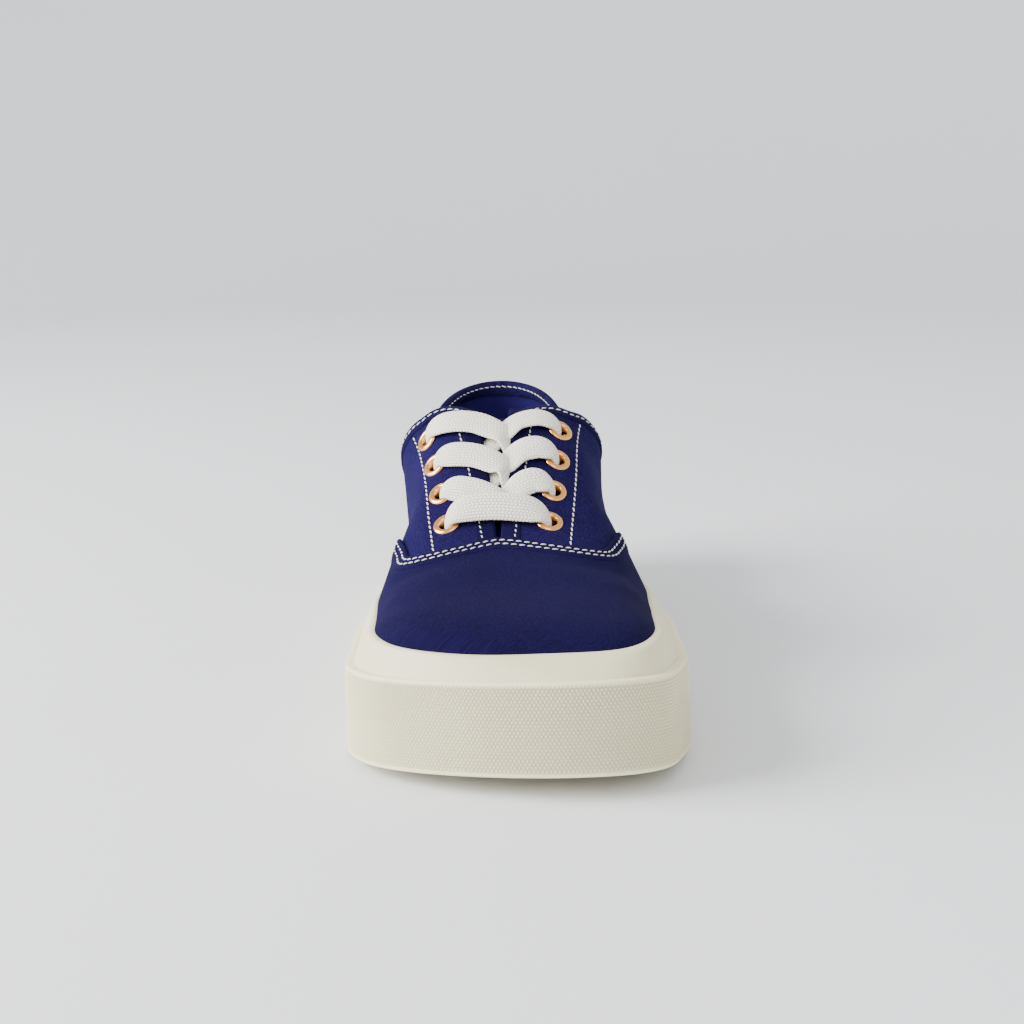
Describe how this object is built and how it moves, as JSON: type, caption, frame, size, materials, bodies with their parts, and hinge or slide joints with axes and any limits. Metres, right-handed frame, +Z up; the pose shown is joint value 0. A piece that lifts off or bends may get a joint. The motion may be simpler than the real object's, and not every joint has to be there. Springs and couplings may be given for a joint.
{
  "type": "canvas sneaker",
  "caption": "Low laced canvas sneaker with a vulcanised rubber sole, a smooth toe rand, a textured toe strip and metal eyelets; right foot.",
  "frame": {"origin": "centre of the shoe's box in plan, on the plane that the sole stands on", "axes": "+Z up; -Y towards the toe, +Y towards the heel; +X towards the medial side"},
  "size_m": [0.1087, 0.2906, 0.0944],
  "materials": {
    "sole_rubber": "matte",
    "foxing_rubber": "satin",
    "strip_rubber": "matte, knurled",
    "canvas": "plain weave",
    "tongue_canvas": "plain weave",
    "insole_cloth": "twill",
    "lace_cotton": "flat braid",
    "eyelet_metal": "polished, rose gold"
  },
  "bodies": {
    "root": {"sole": "sole_rubber", "foxing": "foxing_rubber", "toe_strip": "strip_rubber", "upper": "canvas", "tongue": "tongue_canvas", "insole": "insole_cloth", "lace": "lace_cotton", "eyelet_lateral_1": "eyelet_metal", "eyelet_medial_1": "eyelet_metal", "eyelet_lateral_2": "eyelet_metal", "eyelet_medial_2": "eyelet_metal", "eyelet_lateral_3": "eyelet_metal", "eyelet_medial_3": "eyelet_metal", "eyelet_lateral_4": "eyelet_metal", "eyelet_medial_4": "eyelet_metal"}
  },
  "joints": []
}
